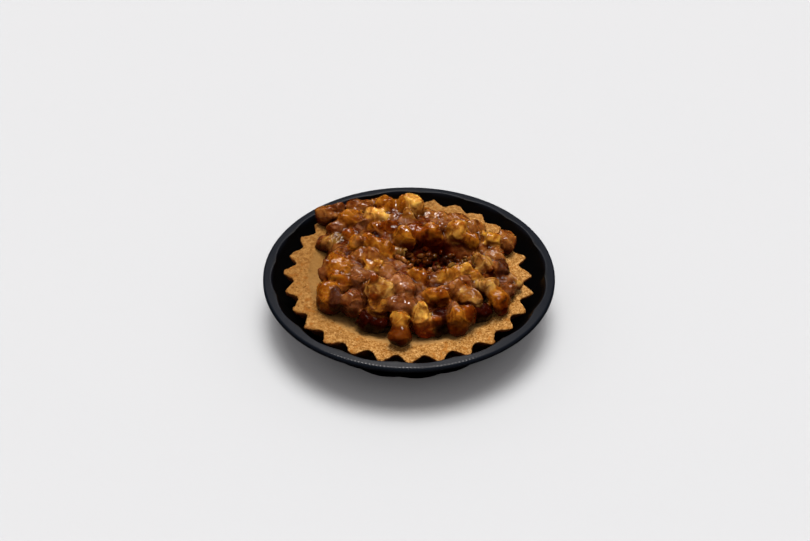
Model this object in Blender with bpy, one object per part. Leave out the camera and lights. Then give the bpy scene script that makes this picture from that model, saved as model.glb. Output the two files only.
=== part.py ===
"""A caramel walnut tart: a fluted shortcrust shell heaped with walnut pieces in caramel, in its thin case.

Run it with blender --background --python part.py, or from the text editor. The scene is in metres with +Z
up, and the case stands on z = 0 with its middle on the z axis. The driving dimensions are in millimetres.
"""

import math

import bmesh
import bpy
from mathutils import Matrix, Vector, noise

MM = 0.001
GAP = 0.3

# The case: a thin tray with a fluted wall, a flat flange round its mouth and a lip turned down at the edge
CASE_HEIGHT = 17.5
CASE_WALL = 0.6
FLANGE_RADIUS = 47.5
FLANGE_ROUNDING = 0.35
LIP_DROP = 1.6
MOUTH_RADIUS = 44.25
CASE_BASE_RADIUS = 33.4
CASE_WALL_BULGE = 0.9
CASE_CORNER = 1.0
CASE_LOBES = 16
CASE_LOBE_DEPTH = 0.45
CASE_BASE_LOBE_DEPTH = 0.4
CASE_CUSP_ANGLE = math.radians(355.0)
CASE_SEGMENTS = 5 * CASE_LOBES

# The crust: a pressed shell with a fluted edge, a broad rough rim and a smooth dish inside it
TIP_RADIUS = 41.2
FLUTE_DEPTH = 3.4
FLUTE_FULLNESS = 0.84
FLUTES = 28
TIP_ANGLE = math.radians(154.9)
FLUTE_POINTS = 6
RIM_HEIGHT = 15.6
RIM_WIDTH = 8.0
RIM_RISE_TO_BACK = 1.9
RIM_RISE_TO_LEFT = 0.9
CRUST_BASE_RADIUS = 30.5
CRUST_BASE_FLUTE_DEPTH = 1.8
DISH_FLOOR = 8.4
DISH_RADIUS = 18.0
TOOTH_UNEVENNESS = 0.25
# Where the rim stands out or in: the angle, how far round it reaches, and how far it moves
RIM_BULGES = (
    (math.radians(13.0), math.radians(15.0), -1.0),
    (math.radians(54.0), math.radians(16.0), 0.7),
    (math.radians(225.0), math.radians(16.0), 0.8),
)

# The heap: a core with a hollow right of its middle, and the nut pieces that show, fused on
CORE_RADIUS = 27.0
CORE_EDGE = 15.4
CORE_STEEPNESS = 14
# Where the heap spills over the rim: the angle, how far round it reaches, and how far out it goes
SPILLS = (
    (math.radians(130.0), math.radians(32.0), 6.0),
    (math.radians(75.0), math.radians(25.0), 3.0),
    (math.radians(15.0), math.radians(32.0), 4.5),
)
CORE_SEGMENTS = 32
CORE_RINGS = 8
CORE_REACH = 4.5
CORE_RISE = 1.4
HOLLOW_MIDDLE = Vector((8.5, 1.0))
HOLLOW_SIZE = Vector((11.0, 6.5))
HOLLOW_DEPTH = 9.6
LUMPINESS = 0.22
CARAMEL_COAT = 0.8
SMALL_NUT = 6.7
CRUST_CLEARANCE = 0.6

# Each nut piece: x, y and z of its middle, its width, depth and height in mm, and its turn about z in degrees
NUTS = (
    # back left, the outer ones leaning over the rim
    (-27.0, 25.0, 20.5, 9.2, 8.0, 7.5, 20),
    (-19.7, 21.5, 21.5, 7.5, 8.5, 8.0, 70),
    (-17.0, 28.5, 21.0, 10.0, 7.0, 6.0, 0),
    (-11.3, 19.5, 24.5, 8.0, 5.8, 5.2, 0),
    (-7.7, 25.0, 24.2, 6.4, 7.0, 7.5, 30),
    (-24.0, 12.6, 18.2, 7.6, 6.6, 6.6, 10),
    (-24.2, 17.4, 19.5, 6.8, 5.4, 5.8, 0),
    (-18.8, 13.5, 19.0, 6.0, 7.0, 7.0, 0),
    (-14.6, 18.0, 21.5, 4.5, 5.5, 6.0, 0),
    # back middle
    (-2.0, 24.0, 24.0, 5.4, 6.5, 9.0, 0),
    (1.3, 24.0, 25.0, 6.6, 8.0, 9.4, 0),
    (-5.5, 19.5, 22.8, 6.6, 6.5, 6.0, 40),
    (-6.3, 12.8, 23.7, 6.4, 6.4, 6.8, 0),
    (-11.2, 14.6, 22.6, 4.6, 4.6, 5.0, 0),
    (7.9, 22.2, 20.8, 10.0, 7.6, 6.6, 0),
    (16.0, 21.8, 19.8, 10.5, 6.6, 6.0, 160),
    (22.0, 18.8, 19.4, 6.5, 7.0, 6.0, 60),
    (-1.6, 7.5, 23.8, 6.8, 7.0, 8.6, 0),
    (2.8, 9.8, 24.4, 6.8, 6.6, 7.6, 0),
    (7.3, 10.5, 24.2, 6.8, 6.8, 7.6, 0),
    (-11.0, 9.0, 20.5, 6.0, 6.0, 6.0, 0),
    # back right, the last ones leaning over the rim
    (15.9, 11.0, 22.9, 6.2, 7.0, 9.4, 0),
    (20.8, 8.6, 21.2, 5.4, 7.0, 9.0, 0),
    (11.6, 13.4, 22.6, 5.4, 6.0, 7.0, 0),
    (26.8, 11.6, 20.5, 7.4, 6.8, 6.6, 130),
    (32.2, 12.2, 19.0, 7.6, 7.2, 7.6, 60),
    # right
    (23.5, -2.0, 20.5, 5.2, 7.0, 8.6, 0),
    (26.9, -2.4, 18.8, 4.4, 5.4, 6.0, 0),
    (30.0, -2.6, 18.3, 5.6, 6.8, 6.8, 20),
    (30.6, -9.8, 17.0, 7.2, 6.6, 5.4, 110),
    (25.3, -12.7, 20.0, 8.6, 6.0, 6.6, -40),
    (28.4, -17.4, 18.2, 6.6, 6.6, 8.0, -40),
    (19.4, -8.0, 21.4, 6.4, 5.0, 5.4, 0),
    (19.0, -18.4, 20.4, 7.6, 6.4, 6.8, 0),
    (17.5, -12.6, 20.4, 6.2, 5.6, 5.6, 0),
    (22.4, -21.3, 17.0, 6.6, 6.0, 5.6, 0),
    # round the hollow
    (-17.0, 4.2, 23.3, 5.4, 6.6, 6.6, 0),
    (-12.8, 4.0, 24.8, 7.0, 6.4, 6.6, 0),
    (-8.1, 1.6, 23.4, 6.2, 7.0, 7.8, 0),
    (-15.6, -2.0, 22.4, 6.8, 6.6, 7.0, 0),
    (-11.2, -5.6, 22.4, 6.4, 7.6, 7.4, 0),
    (-4.1, 1.6, 21.0, 4.8, 4.8, 6.6, 0),
    (3.2, -10.8, 21.4, 6.4, 5.8, 6.8, 0),
    (8.2, -9.4, 20.2, 5.6, 5.4, 5.4, 0),
    (13.4, -9.8, 21.8, 9.0, 5.4, 6.0, 25),
    # left
    (-22.7, -6.3, 21.4, 10.0, 14.0, 9.2, -10),
    (-25.2, -16.0, 18.4, 8.2, 10.0, 10.0, 20),
    (-15.3, -11.6, 21.4, 7.0, 6.8, 7.2, 0),
    (-18.0, -19.8, 19.4, 8.2, 7.8, 8.4, 0),
    # front
    (-8.6, -18.0, 22.6, 9.4, 8.0, 8.6, 0),
    (-8.4, -22.2, 19.8, 8.6, 6.4, 6.8, 0),
    (-2.4, -17.2, 23.3, 9.4, 8.0, 7.6, 0),
    (-1.6, -23.4, 21.5, 8.6, 6.2, 6.6, 0),
    (-2.6, -28.8, 20.3, 5.8, 5.2, 5.1, 0),
    (-2.7, -32.7, 17.2, 6.1, 5.8, 5.8, 0),
    (4.2, -27.2, 19.2, 6.6, 5.8, 13.6, 0),
    (8.7, -18.8, 21.0, 7.8, 7.4, 8.2, 0),
    (13.2, -16.2, 21.6, 7.4, 5.6, 5.8, 0),
    (14.1, -24.3, 20.2, 5.4, 5.0, 5.2, 0),
    (15.0, -27.1, 18.1, 6.8, 6.2, 8.7, 0),
    (17.9, -24.8, 18.7, 4.6, 4.8, 6.9, 0),
    (9.8, -25.6, 17.2, 7.0, 7.0, 7.0, 0),
    (-11.5, -25.6, 16.2, 9.0, 6.6, 6.8, 0),
    # behind the ridge, below its crest
    (-20.2, 28.3, 18.3, 7.0, 6.0, 5.5, 30),
    (-11.5, 30.5, 19.0, 8.0, 6.0, 6.5, -10),
    (-3.0, 29.5, 20.0, 8.0, 6.5, 7.0, 0),
    (4.5, 28.0, 18.8, 7.5, 6.0, 6.0, 20),
    (28.0, 4.5, 17.8, 7.0, 8.5, 6.4, 0),
)


def clear_scene():
    for obj in list(bpy.data.objects):
        bpy.data.objects.remove(obj)


def collection_named(name):
    collection = bpy.data.collections.new(name)
    bpy.context.scene.collection.children.link(collection)
    return collection


def material(name, colour, roughness, metallic=0.0):
    made = bpy.data.materials.new(name)
    made.use_nodes = True
    shader = made.node_tree.nodes["Principled BSDF"]
    shader.inputs["Base Color"].default_value = (*colour, 1.0)
    shader.inputs["Roughness"].default_value = roughness
    shader.inputs["Metallic"].default_value = metallic
    made.diffuse_color = (*colour, 1.0)
    return made


def object_from(bm, name, collection, finish, sharp_angle=35.0):
    bmesh.ops.recalc_face_normals(bm, faces=bm.faces)
    mesh = bpy.data.meshes.new(name)
    bm.to_mesh(mesh)
    bm.free()
    mesh.transform(Matrix.Scale(MM, 4))
    mesh.shade_smooth()
    mesh.set_sharp_from_angle(angle=math.radians(sharp_angle))
    mesh.materials.append(finish)
    obj = bpy.data.objects.new(name, mesh)
    collection.objects.link(obj)
    return obj


def loft(rings, first_pole, last_pole):
    """A closed skin over rings of equal length, capped at each end by a fan of triangles round a pole."""
    bm = bmesh.new()
    loops = [[bm.verts.new(point) for point in ring] for ring in rings]
    count = len(loops[0])
    for lower, upper in zip(loops, loops[1:]):
        for i in range(count):
            j = (i + 1) % count
            bm.faces.new((lower[i], lower[j], upper[j], upper[i]))
    for pole, loop in ((first_pole, loops[0]), (last_pole, loops[-1])):
        middle = bm.verts.new(pole)
        for i in range(count):
            bm.faces.new((middle, loop[i], loop[(i + 1) % count]))
    return bm


def around(angle, radius, height):
    return Vector((radius * math.cos(angle), radius * math.sin(angle), height))


def case_lobe(angle):
    """From -1 at a cusp that points inwards to 1 at the crown of a lobe."""
    return 2.0 * abs(math.sin(CASE_LOBES / 2.0 * (angle - CASE_CUSP_ANGLE))) - 1.0


def case_ring(radius, height, lobe_depth):
    angles = (CASE_CUSP_ANGLE + 2.0 * math.pi * i / CASE_SEGMENTS for i in range(CASE_SEGMENTS))
    return [around(a, radius + lobe_depth * case_lobe(a), height) for a in angles]


def make_case(collection, finish):
    """The section runs from the middle of the underside out and up to the lip, and back down the inside."""
    under = CASE_HEIGHT - CASE_WALL
    lip = CASE_HEIGHT - LIP_DROP
    lip_inside = FLANGE_RADIUS - CASE_WALL
    rounding = FLANGE_ROUNDING
    deep, shallow = CASE_LOBE_DEPTH, CASE_BASE_LOBE_DEPTH
    half_way = (CASE_HEIGHT + CASE_CORNER) / 2.0
    belly = (MOUTH_RADIUS + CASE_BASE_RADIUS) / 2.0 + CASE_WALL_BULGE
    rings = [
        case_ring(CASE_BASE_RADIUS - CASE_CORNER, 0.0, shallow),
        case_ring(CASE_BASE_RADIUS - 0.3 * CASE_CORNER, 0.4 * CASE_CORNER, shallow),
        case_ring(CASE_BASE_RADIUS + CASE_WALL, 1.5 * CASE_CORNER, shallow),
        case_ring(belly + CASE_WALL, half_way, (deep + shallow) / 2.0),
        case_ring(MOUTH_RADIUS + CASE_WALL, under, deep),
        case_ring(lip_inside - rounding, under, 0.0),
        case_ring(lip_inside, under - rounding, 0.0),
        case_ring(lip_inside, lip, 0.0),
        case_ring(FLANGE_RADIUS, lip, 0.0),
        case_ring(FLANGE_RADIUS, CASE_HEIGHT - rounding, 0.0),
        case_ring(FLANGE_RADIUS - rounding, CASE_HEIGHT, 0.0),
        case_ring(MOUTH_RADIUS + rounding, CASE_HEIGHT, deep),
        case_ring(MOUTH_RADIUS - 0.3 * rounding, CASE_HEIGHT - rounding, deep),
        case_ring(belly, half_way, (deep + shallow) / 2.0),
        case_ring(CASE_BASE_RADIUS, 1.5 * CASE_CORNER, shallow),
        case_ring(CASE_BASE_RADIUS - CASE_CORNER, CASE_WALL, shallow),
    ]
    bm = loft(rings, Vector((0.0, 0.0, 0.0)), Vector((0.0, 0.0, CASE_WALL)))
    return object_from(bm, "tart_case", collection, finish)


def bumps(angle, places):
    """The sum of smooth bumps round the edge, each with its own angle, spread and reach."""
    total = 0.0
    for middle, spread, reach in places:
        away = math.remainder(angle - middle, 2.0 * math.pi)
        total += reach * math.exp(-((away / spread) ** 2))
    return total


def flute(angle):
    """From -1 in a broad round valley to 1 at a narrower tip."""
    inward = (1.0 - math.cos(FLUTES * (angle - TIP_ANGLE))) / 2.0
    return 1.0 - 2.0 * inward**FLUTE_FULLNESS


def rim_rise(angle, radius, height):
    """How much the crust rises here above its mean height: more towards the rim, the back and the left."""
    share = min(max((height - DISH_FLOOR) / (RIM_HEIGHT - DISH_FLOOR), 0.0), 1.0) * radius / TIP_RADIUS
    return share * (RIM_RISE_TO_BACK * math.sin(angle) - RIM_RISE_TO_LEFT * math.cos(angle))


def crust_ring(radius, height, flute_depth):
    count = FLUTES * FLUTE_POINTS
    points = []
    for i in range(count):
        angle = TIP_ANGLE + math.pi * (2 * i + 1) / count
        uneven = TOOTH_UNEVENNESS * noise.noise(around(angle, 4.0, 0.5)) + bumps(angle, RIM_BULGES)
        here = radius + flute_depth / 2.0 * flute(angle) + uneven * flute_depth / FLUTE_DEPTH
        points.append(around(angle, here, height + rim_rise(angle, here, height)))
    return points


def crust_outline():
    """(radius, height, flute depth) from the underside's edge up to the rim and down inside to the dish."""
    top = TIP_RADIUS - FLUTE_DEPTH / 2.0
    base = CRUST_BASE_RADIUS - CRUST_BASE_FLUTE_DEPTH / 2.0
    low = CASE_WALL + GAP
    deep, shallow = FLUTE_DEPTH, CRUST_BASE_FLUTE_DEPTH
    inner = TIP_RADIUS - RIM_WIDTH
    return [
        (base - 0.9, low, 0.7 * shallow),
        (base, low + 0.9, shallow),
        (top - 0.1, RIM_HEIGHT - 0.7, deep),
        (top - 0.5, RIM_HEIGHT, 0.85 * deep),
        (top - 2.6, RIM_HEIGHT + 0.1, 0.2 * deep),
        (inner, RIM_HEIGHT - 0.2, 0.0),
        (inner - 1.2, RIM_HEIGHT - 1.0, 0.0),
        (inner - 5.6, RIM_HEIGHT - 3.0, 0.0),
        (DISH_RADIUS, DISH_FLOOR + 0.2, 0.0),
    ]


def make_crust(collection, finish):
    rings = [crust_ring(radius, height, depth) for radius, height, depth in crust_outline()]
    bm = loft(rings, Vector((0.0, 0.0, CASE_WALL + GAP)), Vector((0.0, 0.0, DISH_FLOOR)))
    return object_from(bm, "crust", collection, finish)


def crust_height(x, y):
    """Height of the crust's upper side, from the dish out over the rim."""
    radius, angle = math.hypot(x, y), math.atan2(y, x)
    outline = [(0.0, DISH_FLOOR)] + [(r, z) for r, z, _ in reversed(crust_outline()[4:])]
    height = RIM_HEIGHT
    for (inner, low), (outer, high) in zip(outline, outline[1:]):
        if inner <= radius < outer:
            height = low + (high - low) * (radius - inner) / (outer - inner)
    return height + rim_rise(angle, radius, height)


def core_radius(angle):
    return CORE_RADIUS + bumps(angle, SPILLS)


def core_height(x, y):
    """Just above the middles of the nuts nearby, so each is half sunk, with an oval hollow and steep edge."""
    total = weights = 0.0
    for nut in NUTS:
        weight = math.exp(-((nut[0] - x) ** 2 + (nut[1] - y) ** 2) / (2.0 * CORE_REACH**2)) + 1e-9
        total += weight * nut[2]
        weights += weight
    place = Vector(((x - HOLLOW_MIDDLE.x) / HOLLOW_SIZE.x, (y - HOLLOW_MIDDLE.y) / HOLLOW_SIZE.y))
    crown = total / weights + CORE_RISE - HOLLOW_DEPTH * math.exp(-(place.length_squared**2))
    outward = math.hypot(x, y) / core_radius(math.atan2(y, x))
    return CORE_EDGE + (crown - CORE_EDGE) * (1.0 - outward**CORE_STEEPNESS)


def core_ring(share):
    """One ring of the core's upper side, at this share of the way out to its edge."""
    ring = []
    for i in range(CORE_SEGMENTS):
        angle = 2.0 * math.pi * i / CORE_SEGMENTS
        point = around(angle, core_radius(angle) * share, 0.0)
        point.z = max(core_height(point.x, point.y), crust_height(point.x, point.y) + CRUST_CLEARANCE)
        ring.append(point)
    return ring


def core_foot():
    """The ring round the core's underside, where it lies in the dish."""
    foot = []
    for i in range(CORE_SEGMENTS):
        point = around(2.0 * math.pi * i / CORE_SEGMENTS, DISH_RADIUS - 0.5, 0.0)
        point.z = crust_height(point.x, point.y) + CRUST_CLEARANCE
        foot.append(point)
    return foot


def make_core(collection, finish):
    rings = [core_foot()]
    rings += [core_ring(step / CORE_RINGS) for step in range(CORE_RINGS, 0, -1)]
    underside = Vector((0.0, 0.0, DISH_FLOOR + CRUST_CLEARANCE))
    bm = loft(rings, underside, Vector((0.0, 0.0, core_height(0.0, 0.0))))
    return object_from(bm, "walnut_heap", collection, finish, sharp_angle=60.0)


def make_nut(index, nut, collection, finish):
    """A lump with a few shallow lobes, kept clear of the crust below it."""
    x, y, z, width, depth, height, turn = nut
    bm = bmesh.new()
    if max(width, depth, height) < SMALL_NUT:
        bmesh.ops.create_uvsphere(bm, u_segments=6, v_segments=4, radius=0.5)
    else:
        bmesh.ops.create_icosphere(bm, subdivisions=2, radius=0.5)
    spin = Matrix.Rotation(math.radians(turn), 3, "Z")
    size = Vector((width, depth, height)) + Vector((1.0, 1.0, 1.0)) * CARAMEL_COAT
    for vert in bm.verts:
        direction = vert.co.normalized()
        swell = 1.0 + LUMPINESS * noise.noise(direction * 1.7 + Vector((index * 3.1, 0.0, 0.0)))
        shaped = vert.co * size * swell
        place = spin @ shaped + Vector((x, y, z))
        place.z = max(place.z, crust_height(place.x, place.y) + CRUST_CLEARANCE)
        vert.co = place
    return object_from(bm, f"nut_{index}", collection, finish)


def keep_outer_shell(mesh):
    """Drops what the union leaves beside the outer skin: the walls of sealed hollows, and loose scraps."""
    bm = bmesh.new()
    bm.from_mesh(mesh)
    unseen = set(bm.verts)
    shells = []
    while unseen:
        shell, front = set(), [unseen.pop()]
        while front:
            vert = front.pop()
            shell.add(vert)
            for edge in vert.link_edges:
                other = edge.other_vert(vert)
                if other in unseen:
                    unseen.remove(other)
                    front.append(other)
        shells.append(shell)
    outer = max(shells, key=len)
    bmesh.ops.delete(bm, geom=[vert for vert in bm.verts if vert not in outer], context="VERTS")
    bmesh.ops.triangulate(bm, faces=bm.faces)
    bm.to_mesh(mesh)
    bm.free()


def make_heap(collection, cutters, finish):
    core = make_core(collection, finish)
    for index, nut in enumerate(NUTS):
        make_nut(index, nut, cutters, finish)
    union = core.modifiers.new("nut pieces", "BOOLEAN")
    union.operation = "UNION"
    union.operand_type = "COLLECTION"
    union.collection = cutters
    union.solver = "EXACT"
    bpy.context.view_layer.update()
    fused = bpy.data.meshes.new_from_object(core.evaluated_get(bpy.context.evaluated_depsgraph_get()))
    core.modifiers.clear()
    core.data = fused
    for obj in list(cutters.objects):
        bpy.data.objects.remove(obj)
    keep_outer_shell(core.data)
    return core


def main():
    clear_scene()
    parts = collection_named("caramel_walnut_tart")
    cutters = collection_named("fused_pieces")
    make_case(parts, material("black_plastic", (0.018, 0.019, 0.021), 0.35))
    make_crust(parts, material("shortcrust", (0.52, 0.27, 0.085), 0.8))
    make_heap(parts, cutters, material("caramel_walnut", (0.33, 0.12, 0.02), 0.25))


main()
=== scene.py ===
"""The looks of a caramel walnut tart in its thin black case.

Lengths are in millimetres, and each piece's mesh is scaled to metres when it is made. Only the floor and
the lamps are given in metres.
"""

import math
import random

import bpy
import numpy as np
from mathutils import Matrix, Vector, noise
from mathutils.bvhtree import BVHTree


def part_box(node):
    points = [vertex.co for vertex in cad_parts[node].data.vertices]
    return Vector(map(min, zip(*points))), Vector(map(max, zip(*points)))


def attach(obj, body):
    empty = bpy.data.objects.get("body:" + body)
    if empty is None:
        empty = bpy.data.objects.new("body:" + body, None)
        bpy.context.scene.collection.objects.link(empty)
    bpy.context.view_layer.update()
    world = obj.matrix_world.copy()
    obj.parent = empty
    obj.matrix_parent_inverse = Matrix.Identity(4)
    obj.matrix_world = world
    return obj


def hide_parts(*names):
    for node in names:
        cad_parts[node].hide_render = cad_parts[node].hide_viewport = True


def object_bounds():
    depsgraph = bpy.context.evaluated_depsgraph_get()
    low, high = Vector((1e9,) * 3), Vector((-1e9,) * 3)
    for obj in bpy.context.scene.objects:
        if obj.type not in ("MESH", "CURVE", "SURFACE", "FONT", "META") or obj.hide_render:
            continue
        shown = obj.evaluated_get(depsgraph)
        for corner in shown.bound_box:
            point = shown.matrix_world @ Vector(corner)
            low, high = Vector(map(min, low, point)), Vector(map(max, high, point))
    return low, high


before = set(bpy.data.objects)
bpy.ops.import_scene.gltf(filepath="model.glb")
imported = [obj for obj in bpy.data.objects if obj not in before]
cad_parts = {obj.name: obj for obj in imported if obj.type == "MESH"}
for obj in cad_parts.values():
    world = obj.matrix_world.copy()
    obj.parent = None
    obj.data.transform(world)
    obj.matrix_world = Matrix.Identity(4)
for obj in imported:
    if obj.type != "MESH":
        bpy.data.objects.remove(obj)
CAD_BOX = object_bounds()

MM = 0.001
GAP = 0.3

# The photograph's camera: how far above the level it looks from, how far away, and what it looks at
PHOTO_WIDTH = 810
FOCAL_PIXELS = 1072
VIEW_ELEVATION = math.radians(38.4)
VIEW_DISTANCE = 350.0
VIEW_TARGET = Vector((0.0, 0.0, 17.5))
MIDDLE_SHIFT = Vector((-4.0, -2.3))

# The case, as large as the solid in the frame: a lobed wall, a flat flange and a lip that turns down
CASE_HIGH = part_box("tart_case")[1] / MM
CASE_HEIGHT = CASE_HIGH.z
FLANGE_RADIUS = CASE_HIGH.x
CASE_WALL = 0.6
MOUTH_RADIUS = 44.25
CASE_BASE_RADIUS = 33.4
CASE_WALL_BULGE = 0.9
CASE_CORNER = 1.0
LIP_DROP = 1.6
CASE_LOBES = 16
CASE_LOBE_DEPTH = 0.45
CASE_BASE_LOBE_DEPTH = 0.4
CASE_CUSP_ANGLE = math.radians(355.0)
CASE_SEGMENTS = 1280
# How many beads would go round it; only those near the front are raised and polished
BEADS = 260
BEAD_HEIGHT = 0.07
BEAD_RISE = BEAD_HEIGHT - 0.01
BEAD_POLISH = 0.22
BEADS_MIDDLE = math.radians(-92.0)
BEADS_REACH = math.radians(24.0)
BEADS_FADE = 0.2

# The crust: blunt teeth, a rough rim and a smooth dish
TIP_RADIUS = 41.2
FLUTE_DEPTH = 3.4
FLUTE_FULLNESS = 0.84
FLUTES = 28
TIP_ANGLE = math.radians(154.9)
FLUTE_POINTS = 32
RIM_HEIGHT = 15.6
RIM_WIDTH = 8.0
RIM_RISE_TO_BACK = 1.9
RIM_RISE_TO_LEFT = 0.9
CRUST_BASE_RADIUS = 30.5
CRUST_BASE_FLUTE_DEPTH = 1.8
DISH_FLOOR = 8.4
DISH_RADIUS = 18.0
TOOTH_UNEVENNESS = 0.25
# The crust's lumps, everywhere and on its tips: the size, height and seed of each layer of noise
CRUST_LUMPS = ((0.9, 0.20, 0), (2.2, 0.26, 1), (6.0, 0.16, 2))
TIP_LUMPS = ((1.3, 0.55, 9), (3.2, 0.60, 10))
PIT_DEPTH = 0.35
# How much of this relief the smooth dish keeps
DISH_RELIEF = 0.25
# Where the rim stands out or in: the angle and how far round it reaches, in degrees, and how far it moves
RIM_BULGES = ((13.0, 15.0, -1.0), (54.0, 16.0, 0.7), (225.0, 16.0, 0.8))

# The caramel: its outline, its hollow, and how far above the nuts' middles it lies
CORE_RADIUS = 27.0
CORE_EDGE = 15.4
CORE_STEEPNESS = 14
SPILLS = ((130.0, 32.0, 6.0), (75.0, 25.0, 3.0), (15.0, 32.0, 4.5))
CORE_SEGMENTS = 96
CORE_RINGS = 24
CORE_REACH = 4.5
CORE_RISE = 1.4
HOLLOW_MIDDLE = (8.5, 1.0)
HOLLOW_SIZE = (11.0, 6.5)
HOLLOW_DEPTH = 9.0
CRUST_CLEARANCE = 0.35
HEAP_VOXEL = 0.36
HEAP_SEED = 12
NUT_COAT = 0.45
# The heap eases off within this height below its top, which is kept a little under the solid's
HEAP_TOP = CAD_BOX[1][2] / MM - 0.1
TOP_EASE = 1.0
BALL_SEGMENTS = 22
BALL_RINGS = 13
# Flat faces broken off each lobe: how many, how far out as shares of the lobe, and how flat
CHIPS = 3
CHIP_LEVELS = (0.66, 0.88)
CHIP_SHARE = 0.70
# Caramel fills the clefts as this many steps of smoothing would, and the nuts' own edges soften less
FILLET_STEPS = 24
EDGE_SOFTNESS = 0.30
# How the nuts' outlines are bent: the size, reach and first seed of each layer of noise
BENDS = ((5.2, 1.15, 11), (2.4, 0.50, 14))
# The nuts' lumps, given like the crust's, and their folds: how high, and how far aside they wind
NUT_LUMPS = ((3.1, 0.26, 6), (1.5, 0.14, 7))
FOLD_HEIGHT = 0.24
FOLD_WINDING = 1.4
# How much of this relief is hidden where milky film lies
FILM_HIDES = 0.45
# A place counts as deep, and gets painted shade, when this many steps of smoothing would lift it
VALLEY_STEPS = 60
# The heights of a nut's relief where the caramel lies thick and where it lies thin
RISE = (-0.22, 0.34)
# How far one nut's colour runs into the next
TONE_BLEND = 0.22
# Painted shade darkens the heap towards the crust, from the second height above it down to the first
FOOT_SHADE = (0.3, 5.5)

# Small pieces between the nuts: where the search for them aims, and from how far off it looks
BIT_TRIES = 170
BIT_REACH = 31.0
BIT_AIM = 17.0
BIT_LOWEST = 14.0
BIT_LOOK = 60.0
BIT_SIZES = (1.8, 3.2)
BIT_SPACING = 3.2
BIT_GAP = 0.35
BIT_SINK = 0.12
BIT_TONES = ("amber", "amber", "russet", "toffee", "mauve", "rosy", "rosy", "russet")
# The crumbs in the hollow, dropped on to the heap and kept where it is low
CRUMBS = 210
CRUMB_SPREAD = (13.0, 7.5)
CRUMB_SHIFT = -2.0
CRUMB_SIZES = (1.0, 2.7)
CRUMB_TOP = 23.0
CRUMB_DROP = 40.0
CRUMB_TONES = ("amber", "russet", "toffee", "grey", "plum", "toffee", "rosy", "russet")
CRUMB_CHIPS = 6
CRUMB_COAT = 0.1
CRUMB_SHADE = (16.5, 23.5)

# What each form is made of: lobes given by their middle and their half sizes, as shares of the nut's own
FORMS = {
    "round": ((0.0, 0.0, 0.0, 1.0, 1.0, 1.0),),
    "ball": ((0.0, 0.0, 0.0, 1.0, 1.0, 1.0),),
    "chunk": (
        (-0.12, 0.10, -0.05, 0.88, 0.90, 0.92),
        (0.30, -0.28, 0.12, 0.66, 0.66, 0.80),
    ),
    "twin": (
        (-0.32, 0.08, 0.00, 0.72, 0.92, 0.98),
        (0.38, -0.10, -0.08, 0.66, 0.88, 0.88),
    ),
    "triple": (
        (-0.34, -0.16, -0.02, 0.68, 0.80, 0.92),
        (0.34, -0.24, -0.08, 0.68, 0.74, 0.86),
        (0.06, 0.30, 0.06, 0.78, 0.70, 0.92),
    ),
    "ridge": (
        (-0.52, 0.05, -0.12, 0.52, 0.84, 0.84),
        (-0.10, -0.06, 0.04, 0.52, 0.92, 0.98),
        (0.34, 0.08, 0.00, 0.50, 0.88, 0.92),
        (0.62, -0.04, -0.16, 0.42, 0.74, 0.76),
    ),
    "knobs": (
        (-0.50, 0.30, 0.00, 0.50, 0.60, 0.78),
        (0.10, 0.46, 0.12, 0.52, 0.52, 0.80),
        (0.56, 0.05, -0.04, 0.46, 0.62, 0.76),
        (-0.30, -0.44, -0.04, 0.58, 0.54, 0.76),
        (0.26, -0.46, 0.02, 0.50, 0.52, 0.80),
        (0.0, 0.0, 0.06, 0.66, 0.66, 0.88),
    ),
    "half": (
        (0.00, 0.00, -0.02, 0.88, 0.98, 0.94),
        (-0.26, 0.10, 0.06, 0.62, 0.84, 0.88),
        (0.50, 0.52, 0.10, 0.36, 0.20, 0.66),
        (0.54, 0.26, 0.14, 0.38, 0.15, 0.72),
        (0.56, 0.02, 0.14, 0.38, 0.14, 0.74),
        (0.55, -0.21, 0.12, 0.38, 0.14, 0.72),
        (0.50, -0.44, 0.06, 0.36, 0.16, 0.66),
        (0.20, -0.72, 0.02, 0.50, 0.26, 0.66),
    ),
    "tall": (
        (0.02, 0.00, -0.38, 1.00, 0.96, 0.58),
        (0.00, 0.01, -0.12, 0.93, 0.92, 0.62),
        (-0.04, 0.02, 0.12, 0.79, 0.80, 0.60),
        (-0.09, 0.03, 0.34, 0.60, 0.62, 0.54),
        (-0.13, 0.04, 0.57, 0.40, 0.42, 0.42),
    ),
    "wedge": (
        (0.00, 0.00, -0.40, 1.00, 0.96, 0.62),
        (-0.08, 0.02, 0.10, 0.84, 0.84, 0.66),
        (-0.14, 0.04, 0.52, 0.56, 0.60, 0.46),
    ),
}

# The forms with no broken faces
UNBROKEN = ("ball", "tall", "half")

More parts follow.
